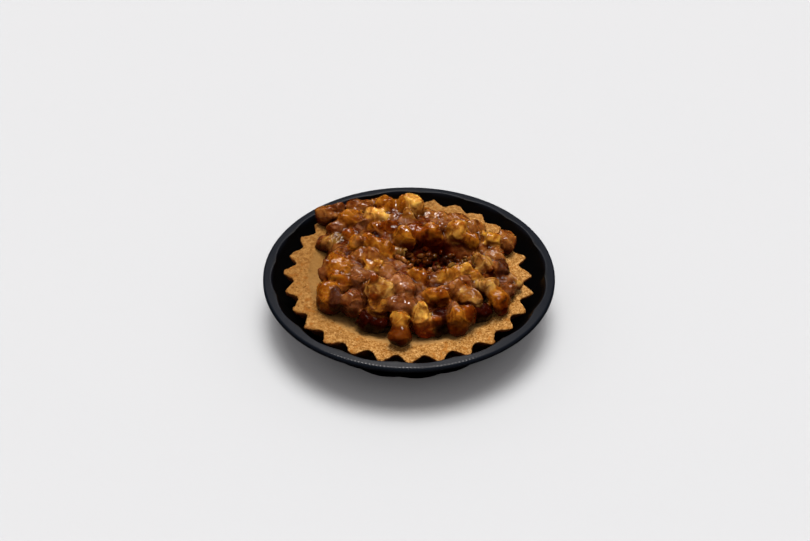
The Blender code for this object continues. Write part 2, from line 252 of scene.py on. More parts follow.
# Each nut piece as in the solid: its middle, its size, its turn about z in degrees, its form and its finish
NUTS = (
    # back left, the outer ones leaning over the rim
    (-27.0, 25.0, 20.5, 9.2, 8.0, 7.5, 20, "chunk", "rosy"),
    (-19.7, 21.5, 21.5, 7.5, 8.5, 8.0, 70, "twin", "amber"),
    (-17.0, 28.5, 21.0, 10.0, 7.0, 6.0, 0, "ridge", "toffee"),
    (-11.3, 19.5, 24.5, 8.0, 5.8, 5.2, 0, "chunk", "straw"),
    (-7.7, 25.0, 24.2, 6.4, 7.0, 7.5, 30, "round", "amber"),
    (-24.0, 12.6, 18.2, 7.6, 6.6, 6.6, 10, "chunk", "grey"),
    (-24.2, 17.4, 19.5, 6.8, 5.4, 5.8, 0, "round", "mauve"),
    (-18.8, 13.5, 19.0, 6.0, 7.0, 7.0, 0, "twin", "russet"),
    (-14.6, 18.0, 21.5, 4.5, 5.5, 6.0, 0, "twin", "mauve"),
    # back middle
    (-2.0, 24.0, 24.0, 5.4, 6.5, 9.0, 0, "round", "amber"),
    (1.3, 24.0, 25.0, 6.6, 8.0, 9.4, 0, "chunk", "straw"),
    (-5.5, 19.5, 22.8, 6.6, 6.5, 6.0, 40, "round", "mauve"),
    (-6.3, 12.8, 23.7, 6.4, 6.4, 6.8, 0, "twin", "russet"),
    (-11.2, 14.6, 22.6, 4.6, 4.6, 5.0, 0, "round", "amber"),
    (7.9, 22.2, 20.8, 10.0, 7.6, 6.6, 0, "twin", "toffee"),
    (16.0, 21.8, 19.8, 10.5, 6.6, 6.0, 160, "ridge", "rosy"),
    (22.0, 18.8, 19.4, 6.5, 7.0, 6.0, 60, "twin", "toffee"),
    (-1.6, 7.5, 23.8, 6.8, 7.0, 8.6, 0, "chunk", "amber"),
    (2.8, 9.8, 24.4, 6.8, 6.6, 7.6, 0, "twin", "russet"),
    (7.3, 10.5, 24.2, 6.8, 6.8, 7.6, 0, "chunk", "amber"),
    (-11.0, 9.0, 20.5, 6.0, 6.0, 6.0, 0, "round", "painted_shade"),
    # back right, the last ones leaning over the rim
    (15.9, 11.0, 22.9, 6.2, 7.0, 9.4, 0, "ball", "gold"),
    (20.8, 8.6, 21.2, 5.4, 7.0, 9.0, 0, "chunk", "amber"),
    (11.6, 13.4, 22.6, 5.4, 6.0, 7.0, 0, "round", "mauve"),
    (26.8, 11.6, 20.5, 7.4, 6.8, 6.6, 130, "wedge", "honey"),
    (32.2, 12.2, 19.0, 7.6, 7.2, 7.6, 60, "knobs", "toffee"),
    # right
    (23.5, -2.0, 20.5, 5.2, 7.0, 8.6, 0, "twin", "pale"),
    (26.9, -2.4, 18.8, 4.4, 5.4, 6.0, 0, "round", "toffee"),
    (30.0, -2.6, 18.3, 5.6, 6.8, 6.8, 20, "knobs", "plum"),
    (30.6, -9.8, 17.0, 7.2, 6.6, 5.4, 110, "twin", "mauve"),
    (25.3, -12.7, 20.0, 8.6, 6.0, 6.6, -40, "chunk", "pale"),
    (28.4, -17.4, 18.2, 6.6, 6.6, 8.0, -40, "twin", "amber"),
    (19.4, -8.0, 21.4, 6.4, 5.0, 5.4, 0, "twin", "honey"),
    (19.0, -18.4, 20.4, 7.6, 6.4, 6.8, 0, "chunk", "pale"),
    (17.5, -12.6, 20.4, 6.2, 5.6, 5.6, 0, "round", "mauve"),
    (22.4, -21.3, 17.0, 6.6, 6.0, 5.6, 0, "round", "painted_shade"),
    # round the hollow
    (-17.0, 4.2, 23.3, 5.4, 6.6, 6.6, 0, "round", "amber"),
    (-12.8, 4.0, 24.8, 7.0, 6.4, 6.6, 0, "chunk", "amber"),
    (-8.1, 1.6, 23.4, 6.2, 7.0, 7.8, 0, "twin", "amber"),
    (-15.6, -2.0, 22.4, 6.8, 6.6, 7.0, 0, "round", "rosy"),
    (-11.2, -5.6, 22.4, 6.4, 7.6, 7.4, 0, "chunk", "honey"),
    (-4.1, 1.6, 21.0, 4.8, 4.8, 6.6, 0, "chunk", "grey"),
    (3.2, -10.8, 21.4, 6.4, 5.8, 6.8, 0, "twin", "amber"),
    (8.2, -9.4, 20.2, 5.6, 5.4, 5.4, 0, "round", "mauve"),
    (13.4, -9.8, 21.8, 9.0, 5.4, 6.0, 25, "ridge", "honey"),
    # left
    (-22.7, -6.3, 21.4, 10.0, 14.0, 9.2, -10, "half", "amber"),
    (-25.2, -16.0, 18.4, 8.2, 10.0, 10.0, 20, "ball", "amber"),
    (-15.3, -11.6, 21.4, 7.0, 6.8, 7.2, 0, "round", "mauve"),
    (-18.0, -19.8, 19.4, 8.2, 7.8, 8.4, 0, "round", "mauve"),
    # front
    (-8.6, -18.0, 22.6, 9.4, 8.0, 8.6, 0, "chunk", "pale"),
    (-8.4, -22.2, 19.8, 8.6, 6.4, 6.8, 0, "chunk", "skin"),
    (-2.4, -17.2, 23.3, 9.4, 8.0, 7.6, 0, "chunk", "plate"),
    (-1.6, -23.4, 21.5, 8.6, 6.2, 6.6, 0, "round", "mauve"),
    (-2.6, -28.8, 20.3, 5.8, 5.2, 5.1, 0, "ball", "honey"),
    (-2.7, -32.7, 17.2, 6.1, 5.8, 5.8, 0, "ball", "garnet"),
    (4.2, -27.2, 19.2, 6.6, 5.8, 13.6, 0, "tall", "bright"),
    (8.7, -18.8, 21.0, 7.8, 7.4, 8.2, 0, "chunk", "amber"),
    (13.2, -16.2, 21.6, 7.4, 5.6, 5.8, 0, "ridge", "rosy"),
    (14.1, -24.3, 20.2, 5.4, 5.0, 5.2, 0, "round", "mauve"),
    (15.0, -27.1, 18.1, 6.8, 6.2, 8.7, 0, "ball", "amber"),
    (17.9, -24.8, 18.7, 4.6, 4.8, 6.9, 0, "round", "russet"),
    (9.8, -25.6, 17.2, 7.0, 7.0, 7.0, 0, "round", "painted_shade"),
    (-11.5, -25.6, 16.2, 9.0, 6.6, 6.8, 0, "twin", "painted_shade"),
    # behind the ridge, below its crest
    (-20.2, 28.3, 18.3, 7.0, 6.0, 5.5, 30, "twin", "russet"),
    (-11.5, 30.5, 19.0, 8.0, 6.0, 6.5, -10, "knobs", "toffee"),
    (-3.0, 29.5, 20.0, 8.0, 6.5, 7.0, 0, "triple", "honey"),
    (4.5, 28.0, 18.8, 7.5, 6.0, 6.0, 20, "twin", "amber"),
    (28.0, 4.5, 17.8, 7.0, 8.5, 6.4, 0, "triple", "toffee"),
)

# Small pieces lodged against the nuts, placed in the same way
BITS = (
    (-24.3, 26.0, 22.6, 4.4, 4.4, 4.4, 0, "round", "mauve"),
    (-7.6, 18.9, 23.4, 3.4, 3.4, 3.6, 0, "round", "amber"),
    (-0.2, 18.6, 25.4, 3.4, 3.0, 3.2, 0, "round", "pale"),
    (25.0, 14.4, 20.8, 2.8, 2.8, 3.2, 0, "wedge", "honey"),
    (29.6, -6.8, 17.4, 4.0, 4.0, 4.2, 0, "chunk", "plum"),
    (34.0, -6.6, 17.0, 2.6, 5.6, 4.0, 20, "round", "pale"),
    (7.7, -24.6, 18.0, 2.6, 3.0, 4.2, 0, "wedge", "mauve"),
    (8.2, -27.8, 16.2, 3.4, 3.2, 5.6, 0, "round", "painted_shade"),
    (-11.1, -16.4, 23.2, 3.6, 6.2, 6.4, 0, "round", "honey"),
    (-22.6, -18.8, 20.2, 3.8, 6.4, 7.0, 10, "ball", "plum"),
    (-26.4, -8.2, 21.6, 4.0, 5.2, 5.2, 0, "round", "mauve"),
    (-19.8, -12.6, 20.2, 4.2, 4.2, 4.4, 0, "round", "amber"),
    (-12.2, -2.6, 24.6, 5.6, 5.0, 4.4, 0, "chunk", "rosy"),
    (-26.6, 11.2, 18.6, 3.4, 4.0, 4.4, 0, "round", "pale"),
    (-28.6, 13.4, 17.4, 4.6, 5.6, 5.4, 0, "round", "mauve"),
    (12.4, -21.2, 20.4, 2.6, 2.6, 2.6, 0, "round", "amber"),
    (-4.0, -12.4, 21.4, 3.6, 3.6, 3.6, 0, "chunk", "toffee"),
    (-6.8, -5.2, 21.2, 5.2, 4.6, 4.6, 0, "chunk", "toffee"),
    (-3.2, -6.8, 19.8, 4.6, 4.6, 4.6, 0, "chunk", "rosy"),
)

# How much darker each surface is than it looks when fully lit, because the suns are strong
PAINT = 0.69

# Each finish: its colour, how much milky film lies on it, and how speckled with dark skin it is
TONES = {
    "honey": ((0.370, 0.172, 0.022), 0.04, 0.0),
    "gold": ((0.440, 0.222, 0.036), 0.0, 0.0),
    "straw": ((0.580, 0.320, 0.062), 0.0, 0.0),
    "bright": ((0.720, 0.400, 0.070), 0.0, 0.0),
    "amber": ((0.258, 0.090, 0.007), 0.12, 0.0),
    "russet": ((0.155, 0.034, 0.002), 0.12, 0.0),
    "garnet": ((0.085, 0.018, 0.0015), 0.10, 0.0),
    "rosy": ((0.215, 0.078, 0.016), 0.45, 0.1),
    "pale": ((0.340, 0.180, 0.042), 0.05, 0.1),
    "toffee": ((0.230, 0.090, 0.020), 0.30, 0.1),
    "mauve": ((0.150, 0.050, 0.013), 0.64, 0.0),
    "grey": ((0.170, 0.092, 0.020), 0.25, 0.2),
    "plum": ((0.050, 0.013, 0.005), 0.20, 0.3),
    # Pieces that stand in shade, painted near black as painted shade
    "painted_shade": ((0.020, 0.002, 0.0006), 0.0, 0.0),
    "skin": ((0.210, 0.082, 0.010), 0.25, 1.0),
    "plate": ((0.230, 0.086, 0.026), 0.50, 0.6),
}


def around(angle, radius, height):
    return (radius * math.cos(angle), radius * math.sin(angle), height)


def turns(count):
    """Angles spread evenly over a full turn."""
    return [2.0 * math.pi * i / count for i in range(count)]


def noise_at(points, size, seed=0):
    """Smooth noise from about -1 to 1 at each point, with lumps of about this size."""
    moved = np.asarray(points, float) / size + np.array((13.7, 5.1, 9.3)) * (seed + 1)
    return np.array([noise.noise(point) for point in moved.tolist()])


def layered(points, layers):
    """Layers of noise, each with its size, height and seed, added up."""
    return sum(height * noise_at(points, size, seed) for size, height, seed in layers)


def drift(points, size, seed):
    """Noise in three directions, for pushing points aside."""
    return np.stack([noise_at(points, size, seed + axis) for axis in range(3)], axis=1)


def smooth_step(values, low, high):
    share = np.clip((values - low) / (high - low), 0.0, 1.0)
    return share * share * (3.0 - 2.0 * share)


def placed(name, data):
    """A new object in the scene."""
    obj = bpy.data.objects.new(name, data)
    bpy.context.scene.collection.objects.link(obj)
    return obj


def mesh_from(points, faces, name="piece"):
    mesh = bpy.data.meshes.new(name)
    mesh.from_pydata(np.asarray(points, float).tolist(), [], faces)
    mesh.update()
    return mesh


def triples(items, field):
    """Three numbers read from each item, as the rows of an array."""
    values = np.empty(len(items) * 3)
    items.foreach_get(field, values)
    return values.reshape(-1, 3)


def normals_of(points, faces):
    mesh = mesh_from(points, faces)
    normals = triples(mesh.vertex_normals, "vector")
    bpy.data.meshes.remove(mesh)
    return normals


def remeshed(points, faces, voxel):
    """One skin round everything that the shapes fill together."""
    mesh = mesh_from(points, faces)
    obj = placed("lumps", mesh)
    modifier = obj.modifiers.new("one skin", "REMESH")
    modifier.voxel_size = voxel
    result = bpy.data.meshes.new_from_object(obj.evaluated_get(bpy.context.evaluated_depsgraph_get()))
    arrays = triples(result.vertices, "co"), [tuple(face.vertices) for face in result.polygons]
    bpy.data.objects.remove(obj)
    bpy.data.meshes.remove(mesh)
    bpy.data.meshes.remove(result)
    return arrays


def smoothed(points, faces, steps):
    """Each point moved half way to its neighbours' middle, so many times."""
    pairs = {tuple(sorted((a, b))) for face in faces for a, b in zip(face, face[1:] + face[:1])}
    ends = np.array(sorted(pairs))
    count = np.bincount(ends.ravel(), minlength=len(points))[:, None]
    for _ in range(steps):
        total = np.zeros_like(points)
        for axis in range(3):
            total[:, axis] = np.bincount(ends[:, 0], points[ends[:, 1], axis], len(points))
            total[:, axis] += np.bincount(ends[:, 1], points[ends[:, 0], axis], len(points))
        points = points + 0.5 * (total / np.maximum(count, 1) - points)
    return points


def joined(parts):
    """Several shapes, each given as points and faces, as one."""
    points, faces, start = [], [], 0
    for some_points, some_faces in parts:
        points.append(some_points)
        faces += [tuple(corner + start for corner in face) for face in some_faces]
        start += len(some_points)
    return np.vstack(points), faces


def add_piece(name, points, faces, finish, node, layers):
    """A shaded object in metres that rides on the only body and stands for a node of the solid model."""
    mesh = mesh_from(points * MM, faces, name)
    mesh.shade_smooth()
    mesh.materials.append(finish)
    for key, values in layers.items():
        kind = "FLOAT_COLOR" if values.ndim == 2 else "FLOAT"
        layer = mesh.attributes.new(key, kind, "POINT")
        field = "color" if values.ndim == 2 else "value"
        layer.data.foreach_set(field, np.ascontiguousarray(values, np.float32).ravel())
    obj = placed(name, mesh)
    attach(obj, "root")
    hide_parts(node)


def loft_arrays(rings, first_pole, last_pole):
    """A closed skin over rings of equal length, capped at each end by a fan round a pole."""
    count = len(rings[0])
    points = np.vstack([*rings, [first_pole], [last_pole]])
    sides = [(i, (i + 1) % count) for i in range(count)]
    last = (len(rings) - 1) * count
    faces = [(k + i, k + j, k + count + j, k + count + i) for k in range(0, last, count) for i, j in sides]
    for i, j in sides:
        faces += [(last + count, j, i), (last + count + 1, last + i, last + j)]
    return points, faces


class Nodes:
    """A short way to write a material's nodes."""

    def __init__(self, name):
        self.material = bpy.data.materials.new(name)
        self.material.use_nodes = True
        self.tree = self.material.node_tree
        self.shader = self.tree.nodes["Principled BSDF"]
        self.place = self.add("ShaderNodeTexCoord").outputs["Object"]

    def add(self, kind, **settings):
        node = self.tree.nodes.new(kind)
        for key, value in settings.items():
            setattr(node, key, value)
        return node

    def put(self, socket, value):
        if isinstance(value, bpy.types.NodeSocket):
            self.tree.links.new(value, socket)
        else:
            socket.default_value = value

    def feed(self, node, *values):
        """Puts the values into the node's first sockets."""
        for socket, value in zip(node.inputs, values):
            self.put(socket, value)
        return node.outputs[0]

    def set(self, **values):
        """Sets the shader's sockets, named in lower case with underscores."""
        for key, value in values.items():
            self.put(self.shader.inputs[key.replace("_", " ").title().replace("Ior", "IOR")], value)

    def texture(self, kind, size, output, **inputs):
        """A texture with features of this size in millimetres."""
        node = self.add(kind)
        self.put(node.inputs["Vector"], self.place)
        self.put(node.inputs["Scale"], 1.0 / (size * MM))
        for key, value in inputs.items():
            self.put(node.inputs[key.title()], value)
        return node.outputs[output]

    def noise(self, size, **inputs):
        """Noise from about 0 to 1."""
        return self.texture("ShaderNodeTexNoise", size, "Fac", **inputs)

    def spots(self, size, edge, clump, sparse):
        """Spots about this far apart, with their edge between two distances, where other noise is high."""
        cells = self.texture("ShaderNodeTexVoronoi", size, "Distance")
        return self.times(self.remap(cells, *edge), self.remap(self.noise(clump), *sparse))

    def remap(self, value, low, high, to_low=0.0, to_high=1.0):
        node = self.add("ShaderNodeMapRange", interpolation_type="SMOOTHSTEP")
        return self.feed(node, value, low, high, to_low, to_high)

    def math(self, operation, first, second):
        return self.feed(self.add("ShaderNodeMath", operation=operation), first, second)

    def times(self, first, second):
        return self.math("MULTIPLY", first, second)

    def mix(self, share, first, second, blend="MIX"):
        node = self.add("ShaderNodeMix", data_type="RGBA", blend_type=blend)
        self.put(node.inputs[0], share)
        self.put(node.inputs[6], first)
        self.put(node.inputs[7], second)
        return node.outputs[2]

    def tint(self, share, colour, by):
        """The colour with this share of it multiplied by another."""
        return self.mix(share, colour, by, "MULTIPLY")

    def attribute(self, name, output="Fac"):
        return self.add("ShaderNodeAttribute", attribute_name=name).outputs[output]

    def bump(self, height, depth):
        """A relief whose height runs over this many millimetres."""
        node = self.add("ShaderNodeBump")
        self.put(node.inputs["Height"], height)
        self.put(node.inputs["Distance"], depth * MM)
        return node.outputs["Normal"]


def rgb(red, green, blue):
    return (red, green, blue, 1.0)


def paint(red, green, blue):
    """A surface colour given as it looks when fully lit."""
    return rgb(red * PAINT, green * PAINT, blue * PAINT)


# The crust's grains, from brown to pale, its fine sand and its painted shade towards the back and the left
GRAIN_BROWN = paint(0.218, 0.094, 0.019)
GRAIN_PALE = paint(0.366, 0.190, 0.058)
SAND_DARK = rgb(0.68, 0.54, 0.30)
SAND_LIGHT = rgb(1.28, 1.36, 1.50)
BACK_LEFT_SHADE = rgb(0.69, 0.63, 0.50)
# Thick caramel darkens a nut and reddens it, and thin caramel leaves it yellower
THICK = rgb(0.58, 0.42, 0.31)
THIN = rgb(1.05, 1.16, 1.27)
# The caramel's milky film, and the gaps between the nuts where it is clear or milky
FILM = paint(0.205, 0.082, 0.034)
GAP_DARK = paint(0.060, 0.009, 0.0010)
GAP_LIGHT = paint(0.150, 0.048, 0.009)


def plastic_finish():
    """Thin black moulded plastic with a faint orange peel, polished beads, and walls darkened as painted
    shade.
    """
    nodes = Nodes("black_plastic")
    grain = nodes.noise(1.4, detail=3.0)
    cloud = nodes.noise(14.0)
    beaded = nodes.attribute("beaded")
    flange = nodes.mix(cloud, paint(0.0034, 0.0046, 0.0074), paint(0.0048, 0.0062, 0.0096))
    # The walls, in the well and under the flange, are painted near black as painted shade
    colour = nodes.mix(nodes.attribute("flange"), paint(0.0012, 0.0010, 0.0010), flange)
    rough = nodes.remap(cloud, 0.3, 0.7, 0.34, 0.46)
    nodes.set(base_color=colour, roughness=nodes.math("SUBTRACT", rough, beaded))
    nodes.set(specular_ior_level=0.15, coat_roughness=0.09, normal=nodes.bump(grain, 0.02))
    nodes.set(coat_weight=nodes.remap(beaded, 0.0, BEAD_POLISH))
    return nodes.material


def crust_finish():
    """Sandy shortcrust: pale and brown grains, dark pores, a smoother pressed dish, painted shade on the
    flanks.
    """
    nodes = Nodes("shortcrust")
    grains = nodes.noise(1.35, detail=4.0, roughness=0.55)
    blotches = nodes.noise(4.5, detail=3.0)
    back_left_shade = nodes.attribute("back_left_shade")
    smooth = nodes.attribute("pressed")
    colour = nodes.mix(nodes.remap(grains, 0.34, 0.64), GRAIN_BROWN, GRAIN_PALE)
    colour = nodes.mix(nodes.remap(blotches, 0.40, 0.66, 0.0, 0.45), colour, paint(0.262, 0.116, 0.024))
    pale = nodes.spots(1.3, (0.34, 0.16), 2.6, (0.46, 0.60))
    colour = nodes.mix(nodes.times(pale, 0.5), colour, paint(0.500, 0.290, 0.110))
    # Sand shows less where painted shade darkens the back and the left
    sand = nodes.mix(nodes.remap(nodes.noise(0.5), 0.38, 0.62), SAND_DARK, SAND_LIGHT)
    sandy = nodes.tint(1.0, colour, sand)
    colour = nodes.mix(nodes.remap(back_left_shade, 0.0, 0.7, 1.0, 0.45), colour, sandy)
    # The dish, with neither sand nor most of the flecks and pores
    dish = nodes.mix(nodes.remap(blotches, 0.3, 0.7), paint(0.312, 0.160, 0.047), paint(0.372, 0.200, 0.067))
    colour = nodes.mix(nodes.times(smooth, 0.8), colour, dish)
    rough = nodes.remap(smooth, 0.0, 1.0, 1.0, 0.3)
    flecks = nodes.remap(nodes.noise(1.5, detail=3.0), 0.54, 0.62)
    flecks = nodes.times(flecks, nodes.remap(nodes.noise(7.0), 0.42, 0.58))
    colour = nodes.mix(nodes.times(flecks, nodes.times(rough, 0.7)), colour, paint(0.270, 0.092, 0.010))
    pores = nodes.spots(1.1, (0.30, 0.12), 2.2, (0.49, 0.58))
    colour = nodes.mix(nodes.times(pores, rough), colour, paint(0.185, 0.068, 0.010))
    # Painted shade towards the back and the left
    colour = nodes.tint(back_left_shade, colour, BACK_LEFT_SHADE)
    # Toasting along the outer edge, and painted shade down the flanks
    colour = nodes.mix(nodes.attribute("toast_and_flank_shade"), colour, paint(0.120, 0.030, 0.005))
    nodes.set(base_color=colour, roughness=0.85, specular_ior_level=0.12)
    relief = nodes.math("ADD", grains, nodes.times(nodes.noise(0.35), 0.5))
    nodes.set(normal=nodes.bump(nodes.math("SUBTRACT", relief, pores), 0.21))
    return nodes.material


def nut_finish():
    """Walnut under glossy caramel: mottled amber, dark red gaps partly painted shade, pinkish milky film in
    places.
    """
    nodes = Nodes("caramel_walnut")
    tone = nodes.attribute("tone", "Color")
    fill = nodes.attribute("fill")
    # Mottled flesh with darker patches and remains of skin
    mottle = nodes.noise(2.2, detail=4.0, roughness=0.6)
    colour = nodes.tint(nodes.remap(mottle, 0.50, 0.72), tone, rgb(1.28, 1.42, 1.20))
    colour = nodes.tint(nodes.remap(mottle, 0.50, 0.30), colour, rgb(0.62, 0.45, 0.30))
    patches = nodes.remap(nodes.noise(6.5), 0.47, 0.36)
    colour = nodes.tint(patches, colour, rgb(0.58, 0.40, 0.22))
    skins = nodes.remap(nodes.noise(3.2, detail=3.0, distortion=0.6), 0.56, 0.64)
    colour = nodes.tint(nodes.times(skins, 0.7), colour, rgb(0.42, 0.22, 0.12))
    # Clear caramel, thick or thin, and what fills the gaps
    thick, thin = nodes.tint(1.0, colour, THICK), nodes.tint(1.0, colour, THIN)
    colour = nodes.mix(nodes.attribute("rise"), thick, thin)
    specks = nodes.times(nodes.attribute("speckle"), nodes.remap(nodes.noise(0.8, detail=3.0), 0.50, 0.60))
    colour = nodes.mix(specks, colour, paint(0.085, 0.026, 0.006))
    gaps = nodes.mix(nodes.remap(nodes.noise(4.5), 0.42, 0.56), GAP_DARK, GAP_LIGHT)
    colour = nodes.mix(fill, colour, gaps)
    # Milky film, which leaves the darkest pieces bare
    cloud = nodes.noise(3.2, detail=4.0, roughness=0.62, distortion=0.4)
    cloud = nodes.math("ADD", cloud, nodes.times(nodes.attribute("milk"), 0.62))
    cloud = nodes.math("ADD", cloud, nodes.times(fill, 0.22))
    bare = nodes.remap(tone, 0.030, 0.012)
    film = nodes.math("MAXIMUM", nodes.math("SUBTRACT", nodes.remap(cloud, 0.88, 1.10), bare), 0.0)
    colour = nodes.mix(nodes.times(film, 0.85), colour, FILM)
    # Painted shade, dark red, low down on each nut, near the crust and deep in the clefts
    low = nodes.times(nodes.attribute("low"), nodes.remap(film, 0.0, 1.0, 1.0, 0.75))
    colour = nodes.tint(low, colour, rgb(0.28, 0.050, 0.009))
    colour = nodes.tint(nodes.attribute("deep"), colour, rgb(0.12, 0.025, 0.012))
    nodes.set(base_color=colour, roughness=nodes.remap(film, 0.0, 1.0, 0.17, 0.24), specular_ior_level=0.05)
    nodes.set(subsurface_weight=0.15, subsurface_radius=(1.0, 0.30, 0.06), subsurface_scale=1.4 * MM)
    dull = nodes.math("MAXIMUM", low, nodes.times(fill, 0.9))
    dull = nodes.math("MAXIMUM", dull, bare)
    nodes.set(coat_weight=nodes.remap(dull, 0.0, 1.0, 0.80, 0.08), coat_roughness=0.04)
    nodes.set(coat_tint=rgb(1.0, 0.88, 0.78), coat_normal=nodes.bump(nodes.noise(1.5, detail=0.6), 0.42))
    ripples = nodes.math("ADD", nodes.noise(1.3, detail=3.0), nodes.times(nodes.noise(0.5), 0.3))
    nodes.set(normal=nodes.bump(ripples, 0.24))
    return nodes.material


def ring_of(angles, radii, heights):
    """Points round the upright axis, one at each angle."""
    ring = np.array([around(angle, 1.0, 0.0) for angle in angles]) * radii[:, None]
    ring[:, 2] = heights
    return ring


def case_lobe(angle):
    """From -1 at a cusp that points inwards to 1 at the crown of a lobe."""
    return 2.0 * abs(math.sin(CASE_LOBES / 2.0 * (angle - CASE_CUSP_ANGLE))) - 1.0


def case_section():
    """(radius, height, lobe depth, bead share) from under the middle out, up, over and down inside."""
    low, deep = CASE_BASE_LOBE_DEPTH, CASE_LOBE_DEPTH
    wall_foot, wall_top = 1.5 * CASE_CORNER, CASE_HEIGHT - 0.62
    under = CASE_HEIGHT - CASE_WALL
    base = CASE_BASE_RADIUS
    rows = [(r, 0.0, low * r / base, 0.0) for r in np.linspace(4.0, base - 1.0, 6)]
    for step in np.linspace(0.15, 1.0, 5):
        turn = step * math.pi / 2.0
        radius = base - CASE_CORNER + (CASE_CORNER + CASE_WALL) * math.sin(turn)
        rows.append((radius, wall_foot * (1.0 - math.cos(turn)), low, 0.0))
    rows += wall_rows(CASE_WALL, wall_foot, under, np.linspace(0.0, 1.0, 9)[1:])
    edge, flat, lip = FLANGE_RADIUS, CASE_HEIGHT - BEAD_HEIGHT, CASE_HEIGHT - LIP_DROP
    rows += [
        (edge - 1.3, under, 0.25 * deep, 0.0),
        (edge - 0.95, under - 0.1, 0.0, 0.0),
        (edge - CASE_WALL, under - 0.4, 0.0, 0.0),
        (edge - CASE_WALL, lip + 0.1, 0.0, 0.0),
        (edge - 0.5, lip, 0.0, 0.0),
        (edge - 0.1, lip, 0.0, 0.0),
        (edge, lip + 0.1, 0.0, 0.0),
        (edge, CASE_HEIGHT - 1.1, 0.0, 0.0),
        (edge - 0.05, CASE_HEIGHT - 0.62, 0.0, 0.0),
        (edge - 0.16, CASE_HEIGHT - 0.35, 0.0, 0.0),
        (edge - 0.36, flat - 0.06, 0.0, 0.1),
        (edge - 0.60, flat, 0.0, 0.8),
        (edge - 0.75, flat, 0.0, 1.0),
        (edge - 0.90, flat, 0.0, 0.8),
        (edge - 1.15, flat, 0.0, 0.0),
        (edge - 1.70, flat, 0.0, 0.0),
        (edge - 2.20, flat, 0.2 * deep, 0.0),
        (MOUTH_RADIUS + 0.45, flat, 0.9 * deep, 0.0),
        (MOUTH_RADIUS + 0.20, flat - 0.05, deep, 0.0),
        (MOUTH_RADIUS + 0.02, flat - 0.22, deep, 0.0),
        (MOUTH_RADIUS - 0.08, wall_top, deep, 0.0),
    ]
    rows += wall_rows(0.0, wall_foot, wall_top, np.linspace(1.0, 0.0, 15)[1:])
    rows += [(base - 0.3, 0.95, low, 0.0), (base - CASE_CORNER, CASE_WALL, low, 0.0)]
    return rows + [(r, CASE_WALL, low * r / base, 0.0) for r in np.linspace(base - 4.0, 4.0, 6)]


def wall_rows(outward, low, high, shares):
    """Rows up the case's wall, which bows outwards a little half way."""
    rows = []
    for share in shares:
        bow = 4.0 * CASE_WALL_BULGE * share * (1.0 - share)
        radius = CASE_BASE_RADIUS + (MOUTH_RADIUS - CASE_BASE_RADIUS) * share + bow + outward
        depth = CASE_BASE_LOBE_DEPTH + (CASE_LOBE_DEPTH - CASE_BASE_LOBE_DEPTH) * share
        rows.append((radius, low + (high - low) * share, depth, 0.0))
    return rows


def make_case():
    angles = [CASE_CUSP_ANGLE + turn for turn in turns(CASE_SEGMENTS)]
    lobes = np.array([case_lobe(angle) for angle in angles])
    beads = np.array([0.5 - 0.5 * math.cos(BEADS * angle) for angle in angles])
    beads *= 0.6 + 0.4 * noise_at([around(angle, 9.0, 0.0) for angle in angles], 1.1)
    reach = np.array([abs(math.remainder(angle - BEADS_MIDDLE, 2.0 * math.pi)) for angle in angles])
    beads *= 1.0 - smooth_step(reach, BEADS_REACH, BEADS_REACH + BEADS_FADE)
    beads = np.clip(beads, 0.0, 1.0)
    rings, beaded = [], []
    for radius, height, lobe_depth, bead in case_section():
        rings.append(ring_of(angles, radius + lobe_depth * lobes, height + bead * BEAD_RISE * beads))
        beaded += (BEAD_POLISH * bead * beads).tolist()
    points, faces = loft_arrays(rings, (0.0, 0.0, 0.0), (0.0, 0.0, CASE_WALL))
    # Where the flange is; the walls below it are painted near black as painted shade
    flange = smooth_step(points[:, 2], CASE_HEIGHT - LIP_DROP - 0.3, CASE_HEIGHT - 0.4)
    flange *= smooth_step(np.hypot(points[:, 0], points[:, 1]), MOUTH_RADIUS - 0.2, MOUTH_RADIUS + 0.6)
    layers = {"flange": flange, "beaded": np.array(beaded + [0.0, 0.0])}
    add_piece("case", points, faces, plastic_finish(), "tart_case", layers)


def bumps(angle, places):
    """The sum of smooth bumps round the edge, each with its own angle, spread and reach."""
    total = 0.0
    for middle, spread, reach in places:
        away = math.remainder(angle - math.radians(middle), 2.0 * math.pi)
        total += reach * math.exp(-((away / math.radians(spread)) ** 2))
    return total


def flute(angle):
    """From -1 in a broad round valley to 1 at a narrower tip."""
    inward = (1.0 - math.cos(FLUTES * (angle - TIP_ANGLE))) / 2.0
    return 1.0 - 2.0 * inward**FLUTE_FULLNESS


def rim_rise(angle, radius, height):
    """How much the crust rises here above its mean height: more towards the rim, the back and the left."""
    share = min(max((height - DISH_FLOOR) / (RIM_HEIGHT - DISH_FLOOR), 0.0), 1.0) * radius / TIP_RADIUS
    return share * (RIM_RISE_TO_BACK * math.sin(angle) - RIM_RISE_TO_LEFT * math.cos(angle))


def crust_outline():
    """(radius, height, flute depth) from the underside's edge up to the rim and down inside to the dish."""
    top = TIP_RADIUS - FLUTE_DEPTH / 2.0
    base = CRUST_BASE_RADIUS - CRUST_BASE_FLUTE_DEPTH / 2.0
    low = CASE_WALL + GAP
    deep, shallow = FLUTE_DEPTH, CRUST_BASE_FLUTE_DEPTH
    inner = TIP_RADIUS - RIM_WIDTH
    return [
        (base - 0.9, low, 0.7 * shallow),
        (base, low + 0.9, shallow),
        (top - 0.1, RIM_HEIGHT - 0.7, deep),
        (top - 0.5, RIM_HEIGHT, 0.85 * deep),
        (top - 2.6, RIM_HEIGHT + 0.1, 0.2 * deep),
        (inner, RIM_HEIGHT - 0.2, 0.0),
        (inner - 1.2, RIM_HEIGHT - 1.0, 0.0),
        (inner - 5.6, RIM_HEIGHT - 3.0, 0.0),
        (DISH_RADIUS, DISH_FLOOR + 0.2, 0.0),
    ]


